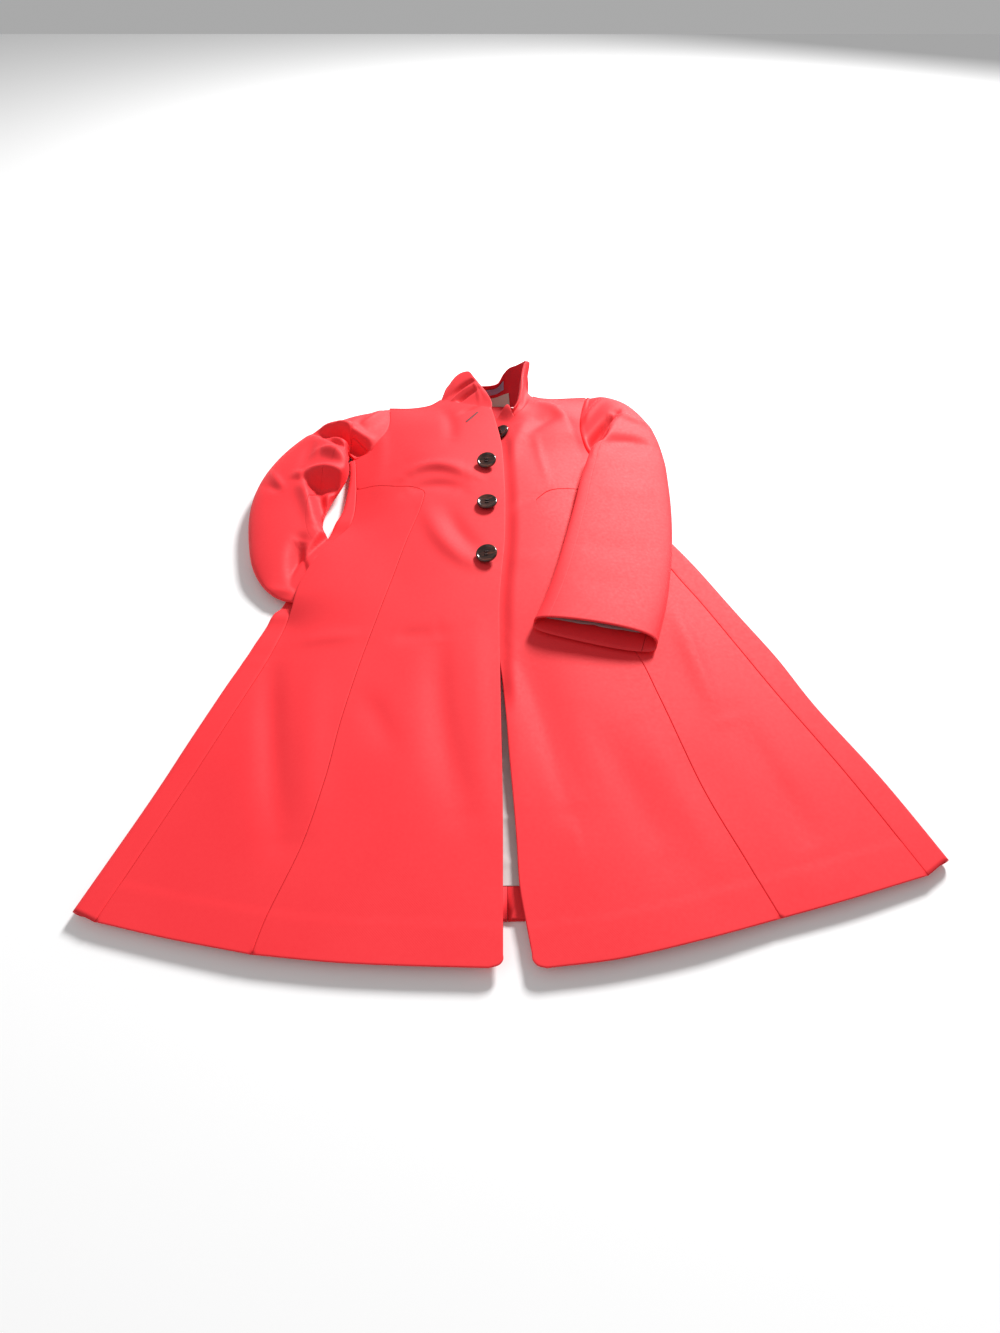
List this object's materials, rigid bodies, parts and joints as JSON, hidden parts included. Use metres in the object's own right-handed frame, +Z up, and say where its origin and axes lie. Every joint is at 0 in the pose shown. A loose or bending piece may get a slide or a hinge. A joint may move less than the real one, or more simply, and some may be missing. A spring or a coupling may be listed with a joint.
{
  "type": "coat",
  "caption": "Women's flared funnel neck coat in smooth coral red wool, laid flat with one sleeve across the front and one cuff in its pocket.",
  "frame": {"origin": "bottom centre of the whole coat's box, where its back rests", "axes": "+Y from the hem to the collar, +X towards the wearer's left, +Z up from the surface that the coat lies on"},
  "size_m": [0.8312, 0.9864, 0.0697],
  "materials": {
    "coat": "smooth felted wool crepe with a soft sheen",
    "satin": "creased lining satin",
    "horn": "polished dark horn effect",
    "ribbon": "woven tape",
    "label": "woven label, blank"
  },
  "bodies": {
    "root": {"front_right": "coat", "front_left": "coat", "side_front_right": "coat", "side_front_left": "coat", "back_right": "coat", "back_left": "coat", "collar_back": "coat", "neck_facing": "coat", "hem_band_right": "coat", "hem_band_left": "coat", "back_lining": "satin", "sleeve_left_lining": "satin", "sleeve_right_top": "coat", "sleeve_right_under": "coat", "sleeve_left_top": "coat", "sleeve_left_under": "coat", "button_1": "horn", "button_2": "horn", "button_3": "horn", "button_top": "horn", "hang_loop": "ribbon", "neck_label": "label"}
  },
  "joints": []
}
